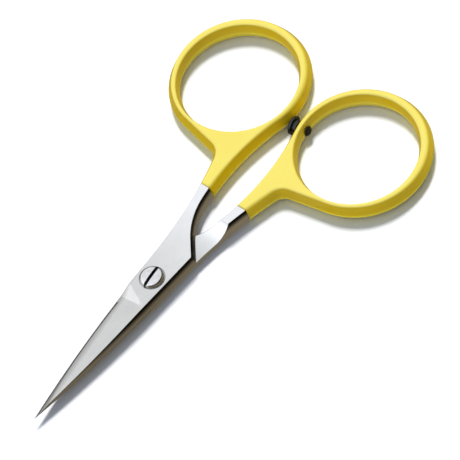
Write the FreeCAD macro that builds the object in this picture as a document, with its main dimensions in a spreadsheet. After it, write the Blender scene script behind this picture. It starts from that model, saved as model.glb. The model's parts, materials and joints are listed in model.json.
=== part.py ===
"""Fine-point ring scissors: two forged steel halves, coated finger rings, a pivot screw and a rubber bumper.

Each half is drawn about the pivot axis with its mating face near z = 0, as the upper half: blade towards -Y, finger
ring towards +Y and -X. The lower half is the same forging turned over about Y. Lengths are in millimetres, angles in
degrees. The finished pair lies closed, flat on z = 0, with the origin under the centre of its footprint.
"""
import FreeCAD, Part
import math
import os

import Sketcher

Vector = FreeCAD.Vector
Rotation = FreeCAD.Rotation
Placement = FreeCAD.Placement
UP = Vector(0, 0, 1)
CLOSE = 0.01  # points this near are taken as one

# where things stand: both halves about the pivot, and the bumper's axis out of its ring's centre
UPPER = "placement(vector(0; @pivot_y; @steel_depth + @coat_face); rotationz(0))"
LOWER = "placement(vector(0; @pivot_y; @steel_depth + @coat_face); rotationy(180))"
BUMPER_AXIS = "placement(vector(@ring_x; @ring_y; 0); rotationz(-@bumper_turn))"
STEM_AXIS = "placement(vector(@ring_x; @ring_y; 0); rotationz(-@bumper_turn) * rotationy(90))"

DIMENSIONS = {
    # one half, seen on the mating plane
    "blade_reach": 38.05,       # pivot axis to point
    "spine_x": 3.65,
    "spine_y": -7.2,
    "spine_radius": 300.0,
    "heel_x": 4.35,
    "heel_y": 8.4,
    "heel_slope": 132.0,
    "heel_length": 4.6,
    "throat_radius": 17.0,      # inner side of the shank
    "neck_radius": 55.0,        # inner side of the neck, up to the ring
    "neck_middle": 34.0,        # where its edges are roundest
    "edge_x": -3.65,            # where the cutting edge begins
    "edge_y": -8.0,
    "edge_radius": 300.0,
    "waist_x": -4.0,
    "waist_y": 3.0,
    "shank_radius": 99.0,       # outer side of the shank
    "flare_radius": 3.0,        # corner between shank and flare
    "flare_slope": 11.0,        # fall of the flare towards the shank
    "steel_depth": 2.1,         # mating plane to outer face
    "draft_angle": 17.5,        # of every forged wall
    "mating_gap": 0.02,         # half the play between the two mating faces
    # finger ring and its coating
    "ring_x": -16.25,
    "ring_y": 47.55,
    "ring_radius": 15.05,
    "hole_x": -16.1,            # the finger hole, a little off the ring's centre
    "hole_y": 47.1,
    "hole_radius": 13.08,
    "coat_wall": 0.35,
    "coat_hole": 0.5,           # thickness inside the finger hole
    "coat_face": 0.12,
    "coat_draft": 26.0,         # of the coated outer walls
    "coat_start": 23.0,         # lip of the coating, from the pivot axis
    "core_inset": 0.15,         # steel under the coating, narrower
    "core_depth": 1.3,          # and shallower than the bare shank
    "ring_edge": 0.3,           # rounding of the coated ring
    "neck_edge": 0.8,           # of the coated neck
    "lip_edge": 0.45,           # and of the coating at its lip
    "ridge_radius": 1.0,        # along the parting line
    # ground surfaces
    "ramp_radius": 7.0,         # run-out of the mating face
    "ramp_top": 18.6,
    "grind_start": -8.6,        # where the ground face reaches the spine
    "grind_across": 16.6,       # its slope across the blade
    "grind_along": 1.7,         # and along it
    "grind_end": 2.3,           # it runs this far back from there
    "grind_lean": 60.0,         # lean of its run-out wall
    "grind_corner": 4.0,
    "grind_corner_x": -2.0,
    "bevel_lean": 64.0,         # lean of the bevel
    "bevel_depth": 0.8,
    "cut_beyond": 60.0,         # cutting tools reach this far, clear of the metal
    # pivot screw
    "screw_radius": 1.3,
    "screw_play": 0.03,
    "head_radius": 2.55,
    "head_wall": 0.05,
    "head_round": 0.75,         # rounding of the head's rim
    "head_dome": 0.15,
    "seat_radius": 2.72,
    "seat_depth": 0.3,
    "slot_width": 0.65,
    "slot_depth": 0.6,
    "slot_turn": 6.0,
    # rubber bumper, along its axis from the centre of its ring
    "bumper_turn": 8.0,
    "bumper_front": 17.25,      # crown of the domed pad
    "bumper_rim": 16.42,
    "bumper_back": 15.98,
    "bumper_radius": 2.05,
    "waist_radius": 1.35,
    "collar_front": 15.7,
    "collar_back": 15.0,        # seated into the coating
    "collar_radius": 1.5,
    "stem_radius": 0.9,
    "stem_end": 12.75,
    "nub_radius": 1.15,
    "nub_end": 12.1,
    "gate_radius": 0.2,         # flat moulding mark on the axis
    # the closed pair on the table
    "pivot_y": -12.464,
}


def add_sheet(doc):
    """The driving dimensions, one named cell each."""
    sheet = doc.addObject("Spreadsheet::Sheet", "Dimensions")
    for row, (name, value) in enumerate(DIMENSIONS.items(), start=1):
        sheet.set("A%d" % row, name)
        sheet.set("B%d" % row, str(value))
        sheet.setAlias("B%d" % row, name)
    doc.recompute()
    return sheet


def cells(expression):
    """An expression on the sheet, with each cell written as @name."""
    return expression.replace("@", "Dimensions.")


def number(sheet, expression):
    """What an expression on the sheet comes to."""
    return float(sheet.evalExpression(cells(expression)))


def bind(owner, **expressions):
    """Ties properties of a feature to expressions on the sheet."""
    for name, expression in expressions.items():
        owner.setExpression(name, cells(expression))


def heading(angle):
    return Vector(math.cos(math.radians(angle)), math.sin(math.radians(angle)), 0)


def right_of(direction):
    return Vector(direction.y, -direction.x, 0)


def circles_meet(centre_a, radius_a, centre_b, radius_b, side):
    """The point at radius_a from centre_a and radius_b from centre_b, on the left (1) or right (-1) of a to b."""
    span = centre_b - centre_a
    along = (span.Length**2 + radius_a**2 - radius_b**2) / (2 * span.Length)
    across = math.sqrt(radius_a**2 - along**2)
    unit = span / span.Length
    return centre_a + unit * along - right_of(unit) * across * side


def arc_between(centre, start, end, clockwise):
    """The arc about centre from start to end. A sketch holds arcs counter-clockwise."""
    if clockwise:
        start, end = end, start
    first = math.atan2(start.y - centre.y, start.x - centre.x)
    last = math.atan2(end.y - centre.y, end.x - centre.x)
    return Part.ArcOfCircle(Part.Circle(centre, UP, (start - centre).Length), first, last)


def bulging(start, end, radius):
    """The shallow clockwise arc of this radius from start to end."""
    unit = (end - start) / (end - start).Length
    half = (end - start).Length / 2
    centre = (start + end) / 2 + right_of(unit) * math.sqrt(radius**2 - half**2)
    return arc_between(centre, start, end, True)


def new_sketch(body, name, role="XY_Plane"):
    """A sketch on one of the body's own origin planes."""
    plane = next(feature for feature in body.Origin.OriginFeatures if feature.Role == role)
    sketch = body.newObject("Sketcher::SketchObject", name)
    sketch.AttachmentSupport = [(plane, "")]
    sketch.MapMode = "FlatFace"
    return sketch


def constrain(sketch, kind, *where, to):
    """Adds a constraint whose value follows an expression on the sheet."""
    index = sketch.addConstraint(Sketcher.Constraint(kind, *where))
    sketch.setExpression("Constraints[%d]" % index, cells(to))


def outline_sketch(body, name, sheet, grow="0"):
    """The outline of one half on the mating plane: point, spine, heel, shank, ring, flare, waist, cutting edge.

    Every wall stands further out by grow: 0, or one of the sheet's cells, or minus one of them.
    """
    add = number(sheet, grow)
    more = " + (" + grow + ")"
    less = " - (" + grow + ")"
    point = Vector(0, -sheet.blade_reach, 0)
    spine = Vector(sheet.spine_x + add, sheet.spine_y, 0)
    heel = Vector(sheet.heel_x + add, sheet.heel_y + add, 0)
    edge = Vector(sheet.edge_x - add, sheet.edge_y, 0)
    waist = Vector(sheet.waist_x - add, sheet.waist_y, 0)
    ring = Vector(sheet.ring_x, sheet.ring_y, 0)
    ring_radius = sheet.ring_radius + add

    up_throat = heading(sheet.heel_slope)
    throat_start = heel + up_throat * sheet.heel_length
    throat_radius = sheet.throat_radius - add
    throat = throat_start + right_of(up_throat) * throat_radius
    neck_radius = sheet.neck_radius - add
    neck = circles_meet(throat, neck_radius - throat_radius, ring, neck_radius + ring_radius, -1)
    neck_start = neck + (throat - neck).normalize() * neck_radius
    ring_start = ring + (neck - ring).normalize() * ring_radius

    down_flare = heading(-sheet.flare_slope)
    ring_end = ring + right_of(down_flare) * ring_radius
    down_waist = (edge - waist).normalize()
    shank_radius = sheet.shank_radius - add
    shank = waist + right_of(down_waist) * shank_radius
    flare_radius = sheet.flare_radius - add
    flare_line = ring_end + right_of(down_flare) * flare_radius
    across = right_of(down_flare).dot(shank - flare_line)
    along = math.sqrt((shank_radius - flare_radius)**2 - across**2)
    flare = shank - right_of(down_flare) * across + down_flare * along
    flare_start = flare - right_of(down_flare) * flare_radius
    shank_start = shank + (flare - shank).normalize() * shank_radius

    rise = sheet.neck_middle - neck.y
    middle = neck + Vector(-math.sqrt(neck_radius**2 - rise**2), rise, 0)
    sketch = new_sketch(body, name)
    sketch.addGeometry([
        bulging(spine, point, sheet.spine_radius),
        Part.LineSegment(spine, heel),
        Part.LineSegment(heel, throat_start),
        arc_between(throat, throat_start, neck_start, True),
        arc_between(neck, neck_start, middle, True),
        arc_between(neck, middle, ring_start, True),
        arc_between(ring, ring_start, ring_end, False),
        Part.LineSegment(ring_end, flare_start),
        arc_between(flare, flare_start, shank_start, True),
        arc_between(shank, shank_start, waist, True),
        Part.LineSegment(waist, edge),
        bulging(point, edge, sheet.edge_radius),
    ])
    join_outline(sketch)
    constrain(sketch, "DistanceY", -1, 1, 0, 1, point.y, to="-@blade_reach")
    constrain(sketch, "DistanceX", -1, 1, 1, 1, spine.x, to="@spine_x" + more)
    constrain(sketch, "DistanceY", -1, 1, 1, 1, spine.y, to="@spine_y")
    constrain(sketch, "DistanceX", -1, 1, 1, 2, heel.x, to="@heel_x" + more)
    constrain(sketch, "DistanceY", -1, 1, 1, 2, heel.y, to="@heel_y" + more)
    constrain(sketch, "DistanceX", -1, 1, 10, 1, waist.x, to="@waist_x" + less)
    constrain(sketch, "DistanceY", -1, 1, 10, 1, waist.y, to="@waist_y")
    constrain(sketch, "DistanceX", -1, 1, 10, 2, edge.x, to="@edge_x" + less)
    constrain(sketch, "DistanceY", -1, 1, 10, 2, edge.y, to="@edge_y")
    constrain(sketch, "DistanceX", -1, 1, 6, 3, ring.x, to="@ring_x")
    constrain(sketch, "DistanceY", -1, 1, 6, 3, ring.y, to="@ring_y")
    constrain(sketch, "DistanceY", -1, 1, 5, 2, middle.y, to="@neck_middle")
    constrain(sketch, "Distance", 2, sheet.heel_length, to="@heel_length")
    constrain(sketch, "Angle", 2, math.radians(sheet.heel_slope), to="@heel_slope * 1 deg")
    constrain(sketch, "Angle", 7, -math.radians(sheet.flare_slope), to="-@flare_slope * 1 deg")
    radii = {
        0: "@spine_radius",
        3: "@throat_radius" + less,
        4: "@neck_radius" + less,
        6: "@ring_radius" + more,
        8: "@flare_radius" + less,
        9: "@shank_radius" + less,
        11: "@edge_radius",
    }
    for curve, radius in radii.items():
        constrain(sketch, "Radius", curve, sketch.Geometry[curve].Radius, to=radius)
    return sketch


def join_outline(sketch):
    """Joins the curves of an outline end to end: tangent where it flows, with corners at the point, heel and edge."""
    sketch.addConstraint([
        Sketcher.Constraint("Coincident", 0, 2, 1, 1),
        Sketcher.Constraint("Coincident", 1, 2, 2, 1),
        Sketcher.Constraint("Tangent", 2, 2, 3, 2),
        Sketcher.Constraint("Tangent", 3, 1, 4, 2),
        Sketcher.Constraint("Coincident", 4, 1, 5, 2),
        Sketcher.Constraint("Coincident", 4, 3, 5, 3),
        Sketcher.Constraint("Tangent", 5, 1, 6, 1),
        Sketcher.Constraint("Tangent", 6, 2, 7, 1),
        Sketcher.Constraint("Tangent", 7, 2, 8, 2),
        Sketcher.Constraint("Tangent", 8, 1, 9, 2),
        Sketcher.Constraint("Tangent", 9, 1, 10, 1),
        Sketcher.Constraint("Coincident", 10, 2, 11, 1),
        Sketcher.Constraint("Coincident", 11, 2, 0, 1),
        Sketcher.Constraint("PointOnObject", 0, 1, -2),
    ])


def profile(body, name, sheet, corners, role="XY_Plane", offset=None):
    """A closed sketch through corners (x, y), each an expression on the sheet.

    A corner may carry a radius as well: the side that leaves it is then an arc, curving to the right.
    """
    sketch = new_sketch(body, name, role)
    if offset:
        bind(sketch, AttachmentOffset=offset)
    points = [Vector(number(sheet, corner[0]), number(sheet, corner[1]), 0) for corner in corners]
    firsts = []
    for index, corner in enumerate(corners):
        start = points[index]
        end = points[(index + 1) % len(points)]
        if len(corner) == 3:
            side = sketch.addGeometry(bulging(start, end, number(sheet, corner[2])))
            constrain(sketch, "Radius", side, number(sheet, corner[2]), to=corner[2])
            firsts.append(2)
        else:
            sketch.addGeometry(Part.LineSegment(start, end))
            firsts.append(1)
    for index, corner in enumerate(corners):
        following = (index + 1) % len(corners)
        last = 3 - firsts[index]
        sketch.addConstraint(Sketcher.Constraint("Coincident", index, last, following, firsts[following]))
        constrain(sketch, "DistanceX", -1, 1, index, firsts[index], points[index].x, to=corner[0])
        constrain(sketch, "DistanceY", -1, 1, index, firsts[index], points[index].y, to=corner[1])
    return sketch


def circle_sketch(body, name, x, y, radius, offset=None):
    """A circle of this radius about (x, y), all three expressions."""
    sketch = new_sketch(body, name)
    if offset:
        bind(sketch, AttachmentOffset=offset)
    sketch.addGeometry(Part.Circle(Vector(1, 1, 0), UP, 1))
    constrain(sketch, "DistanceX", -1, 1, 0, 3, 1, to=x)
    constrain(sketch, "DistanceY", -1, 1, 0, 3, 1, to=y)
    constrain(sketch, "Radius", 0, 1, to=radius)
    return sketch


def extrude(body, kind, name, sketch, length=None, lean=None, up=True, both=False):
    """A pad or pocket from a sketch, upwards or downwards, its walls leaning outwards by an angle."""
    feature = body.newObject("PartDesign::" + kind, name)
    feature.Profile = sketch
    feature.Reversed = up if kind == "Pocket" else not up
    if both:
        feature.SideType = "Symmetric"
    if length:
        bind(feature, Length=length)
    else:
        feature.Type = "ThroughAll"
    if lean:
        bind(feature, TaperAngle=lean)


def draft_both_ways(body, kind, name, sketch, depth, lean):
    """The same pad or pocket to either side of the parting plane."""
    extrude(body, kind, "Upper" + name, sketch, depth, lean, up=True)
    extrude(body, kind, "Lower" + name, sketch, depth, lean, up=False)


def revolve(body, name, sketch, axis):
    """A full turn of the sketch about one of its own axes."""
    feature = body.newObject("PartDesign::Revolution", name)
    feature.Profile = sketch
    feature.ReferenceAxis = (sketch, [axis])
    feature.Angle = 360


def cut_across(body, name, sheet, beyond):
    """Removes everything past the lip of the coating, or everything before it."""
    far = "2 * @cut_beyond" if beyond else "-@cut_beyond"
    sketch = profile(body, name + "Lines", sheet, [
        ("-@cut_beyond", "@coat_start"),
        ("@cut_beyond", "@coat_start"),
        ("@cut_beyond", far),
        ("-@cut_beyond", far),
    ])
    extrude(body, "Pocket", name, sketch, both=True)


def forge(body, name, sheet, depth, draft, hole, grow):
    """A drafted blank on both sides of the parting plane, with its finger hole."""
    outline = outline_sketch(body, name + "Outline", sheet, grow)
    draft_both_ways(body, "Pad", name + "Walls", outline, depth, "-" + draft)
    finger = circle_sketch(body, name + "Hole", "@hole_x", "@hole_y", hole)
    draft_both_ways(body, "Pocket", name + "Finger", finger, depth, "@draft_angle")


def grind_mating_face(body, sheet):
    """Grinds the mating face flat, with the wheel's radius running out into the shank."""
    run_out = "sqrt(@ramp_radius^2 - (@ramp_radius - %s * @steel_depth - @mating_gap)^2)"
    start = "@ramp_top - " + run_out % 1
    sketch = profile(body, "MatingProfile", sheet, [
        ("-@cut_beyond", "@mating_gap"),
        (start, "@mating_gap", "@ramp_radius"),
        (start + " + " + run_out % 2, "-2 * @steel_depth"),
        ("-@cut_beyond", "-2 * @steel_depth"),
    ], role="YZ_Plane")
    extrude(body, "Pocket", "MatingFace", sketch, both=True)


def grind_blade(body, sheet):
    """Grinds the outer face down from the spine to the edge."""
    offset = ("placement(vector(@spine_x - @steel_depth * tan(@draft_angle); @grind_start; @steel_depth);"
              " rotationy(-@grind_across) * rotationx(@grind_along))")
    sketch = profile(body, "GroundFace", sheet, [
        ("-@cut_beyond", "@grind_end"),
        ("@grind_corner_x", "@grind_end", "@grind_corner"),
        ("@grind_corner_x + @grind_corner", "@grind_end - @grind_corner"),
        ("@grind_corner_x + @grind_corner", "-@cut_beyond"),
        ("-@cut_beyond", "-@cut_beyond"),
    ], offset=offset)
    extrude(body, "Pocket", "GrindBlade", sketch, "2 * @steel_depth", "@grind_lean", up=True)


def grind_bevel(body, sheet):
    """Grinds the narrow bevel whose foot is the cutting edge."""
    sketch = profile(body, "Bevel", sheet, [
        ("0", "-@blade_reach", "@edge_radius"),
        ("@edge_x", "@edge_y"),
        ("-@cut_beyond", "@edge_y"),
        ("-@cut_beyond", "-@cut_beyond"),
        ("0", "-@cut_beyond"),
    ])
    extrude(body, "Pocket", "GrindBevel", sketch, "@bevel_depth", "@bevel_lean", up=True)


def bore_for_screw(body, recessed):
    """The screw's hole through one half, and the shallow seat its head sits in."""
    hole = circle_sketch(body, "ScrewCircle", "0", "0", "@screw_radius + @screw_play")
    extrude(body, "Pocket", "ScrewHole", hole, both=True)
    if recessed:
        face = "placement(vector(0; 0; @steel_depth); rotationz(0))"
        seat = circle_sketch(body, "SeatCircle", "0", "0", "@seat_radius", offset=face)
        extrude(body, "Pocket", "ScrewSeat", seat, "@seat_depth", up=False)


def bore_for_stem(body):
    """The radial hole through the ring's inner side, for the bumper's stem."""
    circle = circle_sketch(body, "StemCircle", "0", "0", "@stem_radius", offset=STEM_AXIS)
    extrude(body, "Pocket", "StemHole", circle, "1.2 * @ring_radius", up=True)


def half(doc, name, sheet, turned):
    """One steel half: a full forging up to the coating, and a slimmer core inside it, then all the grinding."""
    body = doc.addObject("PartDesign::Body", name)
    body.Label = name
    outline = outline_sketch(body, "Outline", sheet)
    draft_both_ways(body, "Pad", "Walls", outline, "@steel_depth", "-@draft_angle")
    cut_across(body, "CutAtCoating", sheet, beyond=True)
    forge(body, "Core", sheet, "@core_depth", "@draft_angle", "@hole_radius + @core_inset", "-@core_inset")
    grind_mating_face(body, sheet)
    grind_blade(body, sheet)
    grind_bevel(body, sheet)
    bore_for_screw(body, recessed=not turned)
    if turned:
        bore_for_stem(body)
    return body


def edge_rounding(sheet, point):
    """The radius of the coating's edge at one of its corners: crisp on the ring, soft on the neck."""
    ring = Vector(sheet.ring_x, sheet.ring_y, point.z)
    if point.distanceToPoint(ring) < sheet.ring_radius + 2 * sheet.coat_wall:
        return sheet.ring_edge
    if point.y < sheet.coat_start + sheet.coat_wall:
        return sheet.lip_edge
    return sheet.neck_edge


def rounded_edges(shape, sheet):
    """Edge number, first radius and last radius for the coating's outer edges and the ridge along its walls."""
    depth = sheet.steel_depth + sheet.coat_face
    edges = []
    for index, edge in enumerate(shape.Edges, start=1):
        first = edge.firstVertex(True).Point
        last = edge.lastVertex(True).Point
        along_lip = max(abs(first.y - sheet.coat_start), abs(last.y - sheet.coat_start)) < CLOSE
        if along_lip:
            continue
        if max(abs(abs(first.z) - depth), abs(abs(last.z) - depth)) < CLOSE:
            edges.append((index, edge_rounding(sheet, first), edge_rounding(sheet, last)))
        elif max(abs(first.z), abs(last.z)) < CLOSE:
            edges.append((index, sheet.ridge_radius, sheet.ridge_radius))
    return edges


def coating(doc, name, sheet, inside, placement):
    """The enamel on one bow: the forging's outline grown by the coating, softened, less what is inside it."""
    body = doc.addObject("PartDesign::Body", name + "_blank")
    depth = "@steel_depth + @coat_face"
    forge(body, "Coat", sheet, depth, "@coat_draft", "@hole_radius - @coat_hole", "@coat_wall")
    cut_across(body, "CutAtLip", sheet, beyond=False)
    doc.recompute()
    softened = doc.addObject("Part::Fillet", name + "_softened")
    softened.Base = body
    softened.Edges = rounded_edges(body.Shape, sheet)
    bind(body, Placement=placement)
    shell = doc.addObject("Part::Cut", name)
    shell.Label = name
    shell.Base = softened
    shell.Tool = inside
    return shell


def steel_and_stem(doc, steel):
    """The lower steel half with a drill through its ring, to hollow the enamel around both."""
    drill = doc.addObject("Part::Cylinder", "StemDrill")
    bind(drill, Radius="@stem_radius", Height="1.2 * @ring_radius", Placement=LOWER + " * " + STEM_AXIS)
    inside = doc.addObject("Part::MultiFuse", "SteelAndStem")
    inside.Shapes = [steel, drill]
    return inside


def cap_radius(height, radius):
    """The radius of the ball whose cap has this height and rim radius."""
    return "(%s^2 + %s^2) / (2 * %s)" % (height, radius, height)


def screw(doc, sheet):
    """The pivot screw: a plain shank, and a low domed head with a slot."""
    body = doc.addObject("PartDesign::Body", "pivot_screw")
    body.Label = "pivot_screw"
    seat = "@steel_depth - @seat_depth + @mating_gap"
    rim = "@steel_depth + @head_wall"
    shoulder = rim + " + @head_round"
    crown = shoulder + " + @head_dome"
    flat = "(@head_radius - @head_round)"
    turning = profile(body, "Turning", sheet, [
        ("0", "-@steel_depth"),
        ("0", crown, cap_radius("@head_dome", flat)),
        (flat, shoulder, "@head_round"),
        ("@head_radius", rim),
        ("@head_radius", seat),
        ("@screw_radius", seat),
        ("@screw_radius", "-@steel_depth"),
    ], role="XZ_Plane")
    revolve(body, "Turned", turning, "V_Axis")
    offset = "placement(vector(0; 0; %s); rotationz(@slot_turn))" % crown
    slot = profile(body, "SlotLines", sheet, [
        ("-@slot_width / 2", "-2 * @head_radius"),
        ("-@slot_width / 2", "2 * @head_radius"),
        ("@slot_width / 2", "2 * @head_radius"),
        ("@slot_width / 2", "-2 * @head_radius"),
    ], offset=offset)
    extrude(body, "Pocket", "Slot", slot, "@slot_depth", up=False)
    return body


def bumper(doc, sheet):
    """The rubber bumper, turned about its own axis: nub, stem, collar, waist and domed pad."""
    body = doc.addObject("PartDesign::Body", "bumper")
    body.Label = "bumper"
    nub = cap_radius("(@stem_end - @nub_end)", "@nub_radius")
    dome = cap_radius("(@bumper_front - @bumper_rim)", "@bumper_radius")
    moulding = profile(body, "Moulding", sheet, [
        ("@nub_end", "0"),
        ("@nub_end", "@gate_radius", nub),
        ("@stem_end", "@nub_radius"),
        ("@stem_end", "@stem_radius - @mating_gap"),
        ("@collar_back", "@stem_radius - @mating_gap"),
        ("@collar_back", "@collar_radius"),
        ("@collar_front", "@collar_radius"),
        ("@collar_front", "@waist_radius"),
        ("@bumper_back", "@waist_radius"),
        ("@bumper_back", "@bumper_radius"),
        ("@bumper_rim", "@bumper_radius", dome),
        ("@bumper_front", "@gate_radius"),
        ("@bumper_front", "0"),
    ])
    revolve(body, "Moulded", moulding, "H_Axis")
    return body


def check(doc, nodes):
    """Stops unless everything built and every sub-part is a sound solid."""
    for item in doc.Objects:
        if "Invalid" in item.State or "Error" in item.State:
            raise RuntimeError(item.Label + " did not build")
    for node in nodes:
        if node.Shape.isNull() or not node.Shape.isValid() or len(node.Shape.Solids) != 1:
            raise RuntimeError(node.Label + " is not one sound solid")


def main():
    doc = FreeCAD.newDocument("ring_scissors")
    sheet = add_sheet(doc)
    upper = half(doc, "upper_blade", sheet, turned=False)
    lower = half(doc, "lower_blade", sheet, turned=True)
    pivot = screw(doc, sheet)
    stop = bumper(doc, sheet)
    bind(upper, Placement=UPPER)
    bind(lower, Placement=LOWER)
    bind(pivot, Placement=UPPER)
    bind(stop, Placement=LOWER + " * " + BUMPER_AXIS)
    upper_coat = coating(doc, "upper_handle_coating", sheet, upper, UPPER)
    lower_coat = coating(doc, "lower_handle_coating", sheet, steel_and_stem(doc, lower), LOWER)
    doc.recompute()
    nodes = [upper, lower, upper_coat, lower_coat, pivot, stop]
    check(doc, nodes)
    os.makedirs("parts", exist_ok=True)
    for node in nodes:
        node.Shape.exportStep("parts/%s.step" % node.Label)


main()
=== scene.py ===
"""Looks for the fine-point ring scissors: enamel, ground steel, rubber, a studio and the camera."""
import json
import math

import bpy
from mathutils import Matrix, Vector


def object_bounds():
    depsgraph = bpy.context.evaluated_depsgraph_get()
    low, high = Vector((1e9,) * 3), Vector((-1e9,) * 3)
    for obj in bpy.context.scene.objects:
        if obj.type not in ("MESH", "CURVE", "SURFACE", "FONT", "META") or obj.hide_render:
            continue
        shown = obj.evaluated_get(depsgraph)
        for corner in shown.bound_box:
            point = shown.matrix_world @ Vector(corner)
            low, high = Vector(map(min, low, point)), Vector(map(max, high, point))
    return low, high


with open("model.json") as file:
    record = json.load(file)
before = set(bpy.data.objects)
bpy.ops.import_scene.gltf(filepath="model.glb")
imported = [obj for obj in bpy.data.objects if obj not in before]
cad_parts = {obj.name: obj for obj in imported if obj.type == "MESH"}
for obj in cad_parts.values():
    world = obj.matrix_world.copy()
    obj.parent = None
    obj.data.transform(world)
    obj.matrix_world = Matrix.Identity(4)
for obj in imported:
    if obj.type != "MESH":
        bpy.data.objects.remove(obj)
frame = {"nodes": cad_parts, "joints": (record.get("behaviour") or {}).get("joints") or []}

MM = 0.001
PAINTED_LIT_YELLOW = (0.82, 0.69, 0.11)       # the enamel's yellow with painted light and sheen, on flat faces,
PAINTED_SHADE_AND_MOTTLE_YELLOW = (0.74, 0.50, 0.0)        # with painted shade, on walls that lean back (also the mottle's darker tone)
PAINTED_BOUNCE_YELLOW = (0.93, 0.80, 0.03)    # and with painted floor-bounce light, on walls that lean over
SLOT_TURN = math.radians(6.0)   # turn of the screw's slot from the Y axis
SLOT_HALF = 0.33 * MM           # and half its width
EDGE_TAPER = 0.12               # lean of the cutting edges from the Y axis
SENSOR = 36.0                   # the camera's sensor, in its own millimetres
VIEW_WIDTH = 93.916 * MM        # what the picture spans where the camera aims

cad_low, cad_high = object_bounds()
pivot = Vector(next(j["pos_m"] for j in frame["joints"] if j["name"] == "blade_pivot"))


# ---------------------------------------------------------------- node helpers

class Nodes:
    """Builds a shader tree: each call adds a node, sets its sockets and links other nodes' outputs to them.

    A socket is named as in Blender, with _ for a space, or by its place as i0, i1 and so on.
    """

    def __init__(self, tree):
        self.tree = tree
        tree.nodes.clear()

    def add(self, kind, out=0, props=None, **sockets):
        node = self.tree.nodes.new(kind)
        for name, value in (props or {}).items():
            setattr(node, name, value)
        for name, value in sockets.items():
            key = int(name[1:]) if name[1:].isdigit() else name.replace("_", " ")
            socket = node.inputs[key]
            if isinstance(value, bpy.types.NodeSocket):
                self.tree.links.new(value, socket)
            else:
                socket.default_value = value
        return node.outputs[out] if node.outputs else None

    def math(self, operation, a, b=0.0, clamp=False):
        return self.add("ShaderNodeMath", props={"operation": operation, "use_clamp": clamp}, i0=a, i1=b)

    def noise(self, vector, scale, detail=2.0, roughness=0.5):
        return self.add("ShaderNodeTexNoise", Vector=vector, Scale=scale, Detail=detail, Roughness=roughness)

    def scaled(self, vector, x, y, z):
        return self.add("ShaderNodeMapping", Vector=vector, Scale=(x, y, z))

    def ramp(self, factor, *stops):
        """A colour ramp through (position, colour) stops, where a number stands for a grey."""
        node = self.tree.nodes.new("ShaderNodeValToRGB")
        elements = node.color_ramp.elements
        while len(elements) < len(stops):
            elements.new(0.5)
        for element, (position, colour) in zip(elements, stops):
            element.position = position
            element.color = (colour,) * 3 + (1,) if isinstance(colour, float) else tuple(colour) + (1,)
        self.tree.links.new(factor, node.inputs[0])
        return node.outputs[0]

    def remap(self, value, low, high, to_low, to_high):
        return self.add("ShaderNodeMapRange", i0=value, i1=low, i2=high, i3=to_low, i4=to_high)

    def mix(self, factor, a, b):
        node = self.tree.nodes.new("ShaderNodeMix")
        node.data_type = "RGBA"
        for index, value in ((0, factor), (6, a), (7, b)):
            if isinstance(value, bpy.types.NodeSocket):
                self.tree.links.new(value, node.inputs[index])
            else:
                node.inputs[index].default_value = value if index == 0 else tuple(value) + (1,)
        return node.outputs[2]


def new_material(name):
    material = bpy.data.materials.new(name)
    material.use_nodes = True
    return material, Nodes(material.node_tree)


def finish_material(n, **sockets):
    shader = n.add("ShaderNodeBsdfPrincipled", **sockets)
    n.add("ShaderNodeOutputMaterial", Surface=shader)


# ---------------------------------------------------------------- materials

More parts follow.
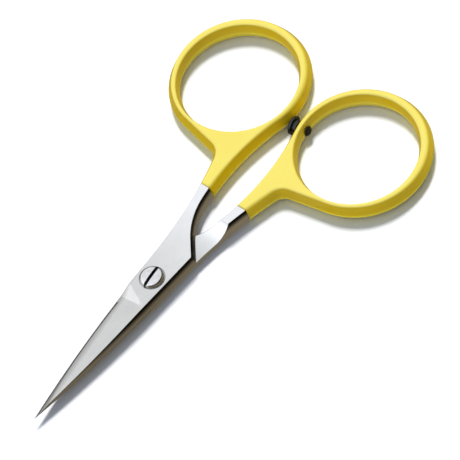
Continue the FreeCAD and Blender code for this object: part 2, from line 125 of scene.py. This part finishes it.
def steel():
    """Forged blade steel: satin blades with painted shade towards the cutting edge, and polished shanks.

    Painted light makes it brightest where the mating face runs out, and a painted dark reflection makes its
    walls dark under their top edge.
    """
    material, n = new_material("blade_steel")
    coords = n.add("ShaderNodeTexCoord", out=3)
    normal = n.add("ShaderNodeTexCoord", out=1)
    up = n.math("ABSOLUTE", n.add("ShaderNodeSeparateXYZ", out=2, Vector=normal))
    flat = n.remap(up, 0.6, 0.8, 0.0, 1.0)
    across = n.add("ShaderNodeSeparateXYZ", out=0, Vector=coords)
    along = n.add("ShaderNodeSeparateXYZ", out=1, Vector=coords)
    height = n.add("ShaderNodeSeparateXYZ", out=2, Vector=coords)
    blade = n.remap(along, pivot.y + 3.0 * MM, pivot.y - 2.0 * MM, 0.0, 1.0)
    lines = n.noise(n.scaled(coords, 700, 9000, 2500), 1.0, 3.0)
    smears = n.noise(coords, 260.0, 3.0)
    grain = n.math("ADD", n.math("MULTIPLY", lines, 0.6), n.math("MULTIPLY", smears, 0.4))
    satin = n.remap(grain, 0.3, 0.7, 0.14, 0.2)
    polish = n.remap(smears, 0.3, 0.7, 0.06, 0.12)
    walls = n.add("ShaderNodeMix", i0=blade, i2=polish, i3=0.2)
    roughness = n.add("ShaderNodeMix", i0=flat, i2=walls, i3=satin)
    brushed = n.ramp(grain, (0.3, (0.58, 0.575, 0.565)), (0.7, (0.66, 0.655, 0.64)))
    polished = n.ramp(grain, (0.3, (0.78, 0.78, 0.785)), (0.7, (0.84, 0.84, 0.845)))
    outer = n.mix(n.remap(along, pivot.y, pivot.y + 18.0 * MM, 0.0, 1.0), brushed, polished)
    # Painted light on the mating face: darker near the pivot, standing in for a reflection of the other
    # blade's wall, and bright further out where it runs out.
    mating_painted_light = n.remap(along, pivot.y + 9.0 * MM, pivot.y + 17.0 * MM, 0.0, 1.0)
    # Painted shade: the blades darken within 1.6 mm of an edge line leaning by EDGE_TAPER, in place of the
    # bevel's darker look.
    from_edge = n.math("ADD", across, n.math("MULTIPLY", n.math("SUBTRACT", along, cad_low[1]), EDGE_TAPER))
    edge_painted_shade = n.math("MULTIPLY", n.remap(from_edge, 0.1 * MM, 1.6 * MM, 1.0, 0.0), blade)
    outer = n.mix(edge_painted_shade, outer, (0.36, 0.35, 0.33))
    mating = n.mix(mating_painted_light, (0.56, 0.56, 0.54), n.ramp(grain, (0.3, 0.80), (0.7, 0.86)))
    lapped = n.remap(height, pivot.z + 0.6 * MM, pivot.z + 0.1 * MM, 0.0, 1.0)
    bright = n.math("MULTIPLY", n.math("MULTIPLY", flat, lapped), n.math("SUBTRACT", 1.0, blade))
    # Painted reflection: walls go near-black from 0.6 mm above the pivot's height upwards, a dark reflection
    # painted under their top edge.
    scale = n.remap(height, pivot.z + 0.6 * MM, pivot.z + 1.5 * MM, 0.0, 1.0)
    dark = n.math("MULTIPLY", scale, n.math("SUBTRACT", 1.0, flat))
    tone = n.mix(dark, n.mix(bright, outer, mating), (0.03, 0.028, 0.025))
    soft = n.add("ShaderNodeBevel", props={"samples": 8}, Radius=0.2 * MM)
    rubbed = n.math("MULTIPLY", flat, 0.05)
    rub = n.add("ShaderNodeBump", Height=lines, Strength=rubbed, Distance=0.02 * MM, Normal=soft)
    finish_material(n, Base_Color=tone, Metallic=1.0, Roughness=roughness, Normal=rub)
    return material


def enamel():
    """Glossy yellow enamel with painted light and shade: pale with painted light and sheen on the flat
    faces, deeper with painted shade on the walls, with a slight orange peel.
    """
    material, n = new_material("ring_enamel")
    coords = n.add("ShaderNodeTexCoord", out=3)
    soft = n.add("ShaderNodeBevel", props={"samples": 8}, Radius=0.7 * MM)
    facing = n.remap(n.add("ShaderNodeSeparateXYZ", out=2, Vector=soft), -1.0, 1.0, 0.0, 1.0)
    peel = n.noise(coords, 900.0, 2.0)
    cloud = n.noise(coords, 120.0, 3.0)
    # Painted light and shade: lit, shaded and floor-lit copies of the yellow, picked by which way the
    # surface faces.
    painted_light_yellow = n.ramp(facing, (0.1, PAINTED_LIT_YELLOW), (0.3, PAINTED_BOUNCE_YELLOW), (0.5, PAINTED_BOUNCE_YELLOW),
                    (0.66, PAINTED_SHADE_AND_MOTTLE_YELLOW), (0.75, PAINTED_SHADE_AND_MOTTLE_YELLOW), (0.95, PAINTED_LIT_YELLOW))
    colour = n.mix(n.remap(cloud, 0.35, 0.75, 0.0, 0.12), painted_light_yellow, PAINTED_SHADE_AND_MOTTLE_YELLOW)
    bump = n.add("ShaderNodeBump", Height=peel, Strength=0.12, Distance=0.05 * MM, Normal=soft)
    roughness = n.remap(cloud, 0.3, 0.7, 0.42, 0.52)
    finish_material(n, Base_Color=colour, Roughness=roughness, Normal=bump, Specular_IOR_Level=0.1,
                    Coat_Weight=1.0, Coat_Roughness=0.08, Coat_IOR=1.6)
    return material


def screw_steel():
    """Turned steel, with painted shade in the slot, darkest along one side."""
    material, n = new_material("screw_steel")
    coords = n.add("ShaderNodeTexCoord", out=3)
    centred = n.add("ShaderNodeMapping", Vector=coords, Location=tuple(-pivot))
    over = (math.cos(SLOT_TURN), math.sin(SLOT_TURN), 0)
    across = n.add("ShaderNodeVectorMath", out=1, props={"operation": "DOT_PRODUCT"}, i0=centred, i1=over)
    # Painted shade in the slot: near-black along one side, lighter along the other.
    sunk = n.remap(n.math("ABSOLUTE", across), SLOT_HALF + 0.06 * MM, SLOT_HALF, 0.0, 1.0)
    slot_painted_shade = n.ramp(n.remap(across, -SLOT_HALF, SLOT_HALF, 0.0, 1.0), (0.45, 0.02), (0.8, 0.34))
    turned = n.noise(centred, 1500.0, 3.0)
    smears = n.noise(coords, 700.0, 3.0)
    tone = n.mix(sunk, n.ramp(turned, (0.3, 0.62), (0.7, 0.74)), slot_painted_shade)
    roughness = n.remap(smears, 0.3, 0.7, 0.14, 0.26)
    soft = n.add("ShaderNodeBevel", props={"samples": 4}, Radius=0.1 * MM)
    finish_material(n, Base_Color=tone, Metallic=1.0, Roughness=roughness, Normal=soft)
    return material


def rubber():
    """Black rubber, slightly dusty."""
    material, n = new_material("bumper_rubber")
    coords = n.add("ShaderNodeTexCoord", out=3)
    grain = n.noise(coords, 2600.0, 3.0)
    dust = n.noise(coords, 900.0, 3.0)
    tone = n.ramp(dust, (0.35, (0.003, 0.003, 0.004)), (0.75, (0.012, 0.012, 0.014)))
    bump = n.add("ShaderNodeBump", Height=grain, Strength=0.3, Distance=0.05 * MM)
    roughness = n.remap(dust, 0.3, 0.7, 0.24, 0.38)
    finish_material(n, Base_Color=tone, Roughness=roughness, Normal=bump)
    return material


def dress(node, material):
    """Gives a CAD node its material."""
    mesh = frame["nodes"][node].data
    mesh.materials.clear()
    mesh.materials.append(material)


# ---------------------------------------------------------------- studio

def add_light(name, kind, location, towards, energy, **settings):
    data = bpy.data.lights.new(name, kind)
    data.energy = energy
    for key, value in settings.items():
        setattr(data, key, value)
    light = bpy.data.objects.new(name, data)
    bpy.context.scene.collection.objects.link(light)
    light.location = location
    light.rotation_euler = (Vector(towards) - Vector(location)).to_track_quat("-Z", "Y").to_euler()
    return light


def direction(azimuth, elevation):
    """Unit vector from the object: azimuth 0 is -Y, 90 is +X."""
    a, e = math.radians(azimuth), math.radians(elevation)
    return Vector((math.sin(a) * math.cos(e), -math.cos(a) * math.cos(e), math.sin(e)))


def make_world():
    """What the steel mirrors: a pale tent overhead, dark at the horizon and above a dim warm table.

    The tent is brightest towards -Y and screened off towards +X. Matt surfaces see only a weaker glow from
    overhead in its place, so that the key light's shadow stays.
    """
    world = bpy.data.worlds.new("studio")
    world.use_nodes = True
    bpy.context.scene.world = world
    n = Nodes(world.node_tree)
    towards = n.add("ShaderNodeTexCoord", out=0)
    height = n.add("ShaderNodeSeparateXYZ", out=2, Vector=towards)
    side = n.add("ShaderNodeSeparateXYZ", out=0, Vector=towards)
    front = n.add("ShaderNodeSeparateXYZ", out=1, Vector=towards)
    level = n.math("ADD", n.remap(height, -1.0, 1.0, 0.0, 1.0), n.math("MULTIPLY", front, -0.12))
    screened = n.math("SUBTRACT", level, n.remap(side, -0.2, 0.2, 0.0, 0.42))
    tent = n.ramp(screened, (0.0, (0.17, 0.14, 0.09)), (0.33, (0.13, 0.11, 0.07)),
                  (0.38, 0.005), (0.49, 0.015), (0.56, 0.42), (0.62, (0.97, 0.98, 0.98)),
                  (0.68, (0.85, 0.87, 0.89)), (0.76, (0.87, 0.89, 0.92)),
                  (0.88, (0.93, 0.95, 0.98)), (1.0, (0.86, 0.89, 0.94)))
    glow = n.ramp(level, (0.6, 0.0), (0.9, (0.285, 0.315, 0.37)))
    lighting = n.add("ShaderNodeLightPath", out=2)
    strength = n.remap(front, 0.3, -0.4, 1.15, 1.55)
    shader = n.add("ShaderNodeBackground", Color=n.mix(lighting, tent, glow), Strength=strength)
    n.add("ShaderNodeOutputWorld", Surface=shader)


def make_floor():
    """A plain white floor, which the steel doesn't mirror."""
    bpy.ops.mesh.primitive_plane_add(size=40.0)
    floor = bpy.context.object
    floor.name = "floor"
    material, n = new_material("floor_white")
    coords = n.add("ShaderNodeTexCoord", out=3)
    tone = n.ramp(n.noise(coords, 30.0), (0.3, (0.89, 0.89, 0.89)), (0.7, (0.91, 0.91, 0.91)))
    finish_material(n, Base_Color=tone, Roughness=0.9, Specular_IOR_Level=0.0)
    floor.data.materials.append(material)
    floor.visible_glossy = False


def make_camera():
    """A distant camera from the points' right, rolled so that the scissors lie across the picture."""
    roll = math.radians(19.87)
    distance = 0.845
    aim = pivot + Vector((5.15, 18.36, 0)) * MM
    back = direction(56.56, 56.66)
    data = bpy.data.cameras.new("camera")
    data.lens = SENSOR * distance / VIEW_WIDTH
    data.sensor_width = SENSOR
    data.clip_start, data.clip_end = 0.05, 100.0
    camera = bpy.data.objects.new("camera", data)
    bpy.context.scene.collection.objects.link(camera)
    facing = (-back).to_track_quat("-Z", "Y").to_matrix().to_4x4()
    camera.matrix_world = Matrix.Translation(aim + back * distance) @ facing @ Matrix.Rotation(-roll, 4, "Z")
    bpy.context.scene.camera = camera


blade = steel()
coat = enamel()
dress("upper_blade", blade)
dress("lower_blade", blade)
dress("upper_handle_coating", coat)
dress("lower_handle_coating", coat)
dress("pivot_screw", screw_steel())
dress("bumper", rubber())

make_world()
make_floor()
make_camera()
sun = add_light("key", "SUN", direction(221, 57), (0, 0, 0), 3.3, angle=math.radians(14))
sun.visible_glossy = False
bpy.context.scene.view_settings.view_transform = "Standard"
